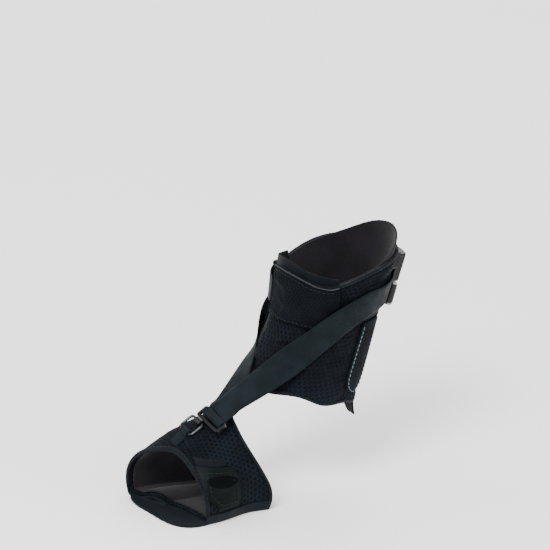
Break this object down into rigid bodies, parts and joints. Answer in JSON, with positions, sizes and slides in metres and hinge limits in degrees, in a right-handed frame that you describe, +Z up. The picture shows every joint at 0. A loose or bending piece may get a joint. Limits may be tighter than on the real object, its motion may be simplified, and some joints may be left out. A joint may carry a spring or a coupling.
{
  "type": "ankle foot orthosis",
  "caption": "Soft drop-foot orthosis: padded ankle cuff and open-toe forefoot wrap joined by two elastic straps from an instep hook to a rear guide.",
  "frame": {"origin": "centre of the wearer's ankle joint, on the leg's axis", "axes": "+X to the wearer's lateral (left) side, -Y to the toes, +Z up the leg"},
  "size_m": [0.1021, 0.2462, 0.221],
  "materials": {
    "mesh_fabric": "air-mesh textile",
    "lining": "brushed knit",
    "webbing": "woven elastic",
    "binding": "folded tape",
    "smooth_fabric": "smooth coated knit",
    "hook_and_loop": "hook and loop",
    "gloss_plastic": "gloss",
    "stay_plastic": "satin",
    "metal": "satin"
  },
  "bodies": {
    "cuff": {"bottom_binding": "binding", "cuff_liner": "lining", "cuff_loop_patch": "hook_and_loop", "cuff_shell": "mesh_fabric", "front_band": "mesh_fabric", "front_tongue": "lining", "lateral_collar": "metal", "lateral_roller_pin": "metal", "lateral_stay": "stay_plastic", "lateral_stay_pocket": "smooth_fabric", "lateral_strap": "webbing", "lever_pin": "metal", "medial_collar": "metal", "medial_roller_pin": "metal", "medial_stay": "stay_plastic", "medial_stay_pocket": "smooth_fabric", "medial_strap": "webbing", "rear_band": "webbing", "rear_spine": "smooth_fabric", "top_binding": "binding", "yoke_base": "gloss_plastic", "yoke_housing": "gloss_plastic"},
    "forefoot": {"elastic_panel": "webbing", "foot_liner": "lining", "foot_loop_patch": "hook_and_loop", "foot_tab_anchor": "smooth_fabric", "foot_wrap": "mesh_fabric", "instep_binding": "binding", "instep_ring": "metal", "ring_keeper": "webbing", "snap_hook": "gloss_plastic", "sole_band": "smooth_fabric", "strap_fold": "webbing", "toe_binding": "binding"},
    "cuff_closure": {"cuff_tab": "smooth_fabric", "cuff_tab_hooks": "hook_and_loop"},
    "foot_closure": {"foot_tab": "smooth_fabric", "foot_tab_hooks": "hook_and_loop"},
    "clamp": {"clamp_lever": "gloss_plastic"},
    "lateral_roller": {"lateral_roller": "gloss_plastic"},
    "medial_roller": {"medial_roller": "gloss_plastic"}
  },
  "joints": [
    {"name": "ankle_flexion", "type": "hinge", "parent": "cuff", "child": "forefoot", "pos_m": [0, 0, 0], "axis": [1, 0, 0], "range_deg": [-15, 25], "stiffness_Nm_per_rad": 3, "deforming": ["lateral_strap", "medial_strap"]},
    {"name": "cuff_tab_peel", "type": "hinge", "parent": "cuff", "child": "cuff_closure", "pos_m": [-0.0089, -0.0232, 0.095], "axis": [0, 0, 1], "range_deg": [0, 100]},
    {"name": "foot_tab_peel", "type": "hinge", "parent": "forefoot", "child": "foot_closure", "pos_m": [0.031, -0.102, -0.036], "axis": [-0.3302, -0.9405, 0.08], "range_deg": [0, 100]},
    {"name": "clamp_lever_lift", "type": "hinge", "parent": "cuff", "child": "clamp", "pos_m": [0, 0.09584, 0.10511], "axis": [1, 0, 0], "range_deg": [0, 80]},
    {"name": "lateral_roller_turn", "type": "hinge", "parent": "cuff", "child": "lateral_roller", "pos_m": [0.0115, 0.08467, 0.0814], "axis": [0, 0.309, 0.9511], "continuous": true},
    {"name": "medial_roller_turn", "type": "hinge", "parent": "cuff", "child": "medial_roller", "pos_m": [-0.0115, 0.08467, 0.0814], "axis": [0, 0.309, 0.9511], "continuous": true}
  ]
}
